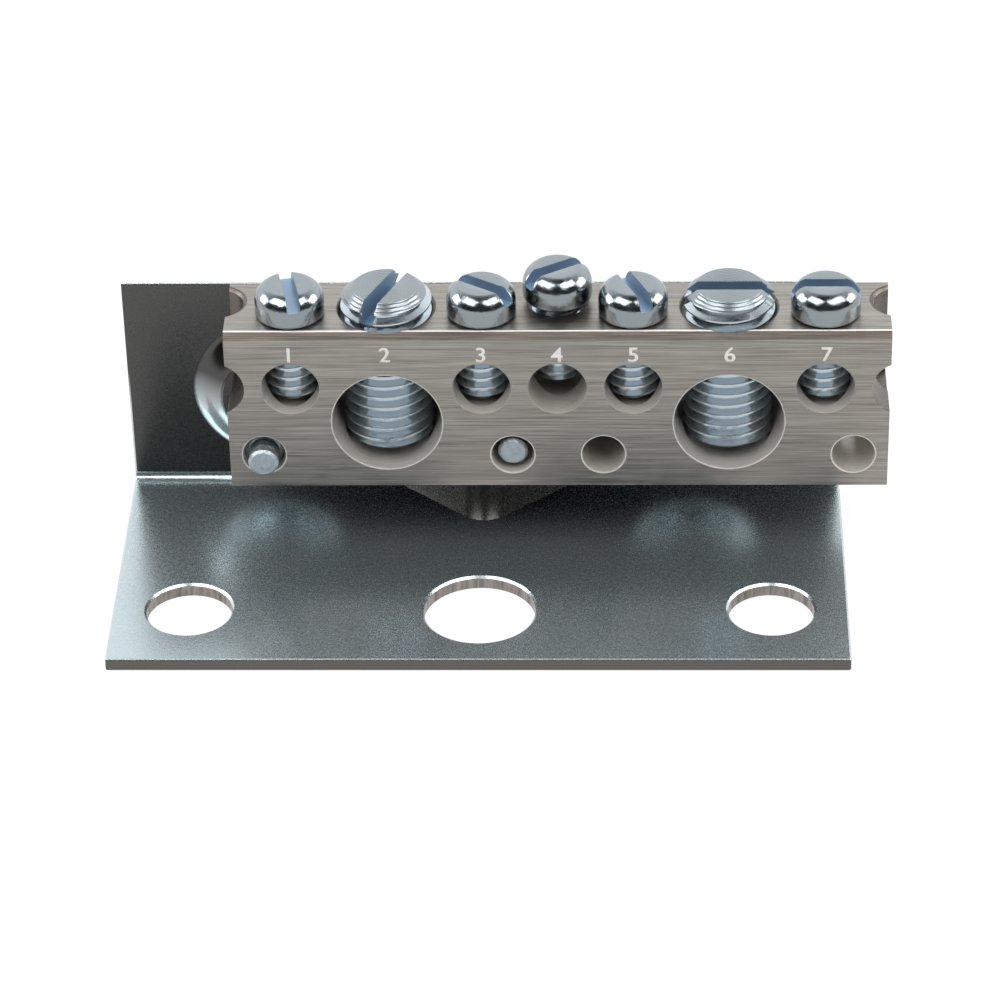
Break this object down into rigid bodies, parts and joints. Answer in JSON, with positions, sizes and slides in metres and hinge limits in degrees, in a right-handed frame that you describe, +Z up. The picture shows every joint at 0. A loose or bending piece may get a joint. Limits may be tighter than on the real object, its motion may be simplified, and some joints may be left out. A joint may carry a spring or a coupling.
{
  "type": "ground bar",
  "caption": "Drilled terminal bar with slotted clamp screws, held on the flange of a folded steel bracket with a holed base; it joins earthing wires to one bolted point.",
  "frame": {"origin": "centre of the large base hole, on the underside of the base", "axes": "+X along the bar, +Y from the free edge of the base towards the flange, +Z up out of the base"},
  "size_m": [0.0894, 0.0416, 0.0355],
  "materials": {
    "zinc_plate": "bright zinc plating with a blue passivate, glossy and lightly scuffed",
    "zinc_screw": "bright zinc plating with a blue passivate on turned steel",
    "tinned_bar": "dull tin plating over drawn aluminium, with fine draw lines along the bar"
  },
  "bodies": {
    "bar_on_bracket": {"bracket": "zinc_plate", "terminal_bar": "tinned_bar", "mount_screw_left": "zinc_screw", "mount_screw_centre": "zinc_screw"},
    "port_screw_1": {"port_screw_1": "zinc_screw"},
    "port_screw_2": {"port_screw_2": "zinc_screw"},
    "port_screw_3": {"port_screw_3": "zinc_screw"},
    "port_screw_4": {"port_screw_4": "zinc_screw"},
    "port_screw_5": {"port_screw_5": "zinc_screw"},
    "main_screw_left": {"main_screw_left": "zinc_screw"},
    "main_screw_right": {"main_screw_right": "zinc_screw"}
  },
  "joints": [
    {"name": "port_screw_1_travel", "type": "slide", "parent": "bar_on_bracket", "child": "port_screw_1", "axis": [0, 0, 1], "range_m": [0, 0.0055]},
    {"name": "port_screw_2_travel", "type": "slide", "parent": "bar_on_bracket", "child": "port_screw_2", "axis": [0, 0, 1], "range_m": [0, 0.0055]},
    {"name": "port_screw_3_travel", "type": "slide", "parent": "bar_on_bracket", "child": "port_screw_3", "axis": [0, 0, 1], "range_m": [-0.0008, 0.005]},
    {"name": "port_screw_4_travel", "type": "slide", "parent": "bar_on_bracket", "child": "port_screw_4", "axis": [0, 0, 1], "range_m": [0, 0.0055]},
    {"name": "port_screw_5_travel", "type": "slide", "parent": "bar_on_bracket", "child": "port_screw_5", "axis": [0, 0, 1], "range_m": [0, 0.0055]},
    {"name": "main_screw_left_travel", "type": "slide", "parent": "bar_on_bracket", "child": "main_screw_left", "axis": [0, 0, 1], "range_m": [0, 0.01]},
    {"name": "main_screw_right_travel", "type": "slide", "parent": "bar_on_bracket", "child": "main_screw_right", "axis": [0, 0, 1], "range_m": [0, 0.01]}
  ]
}
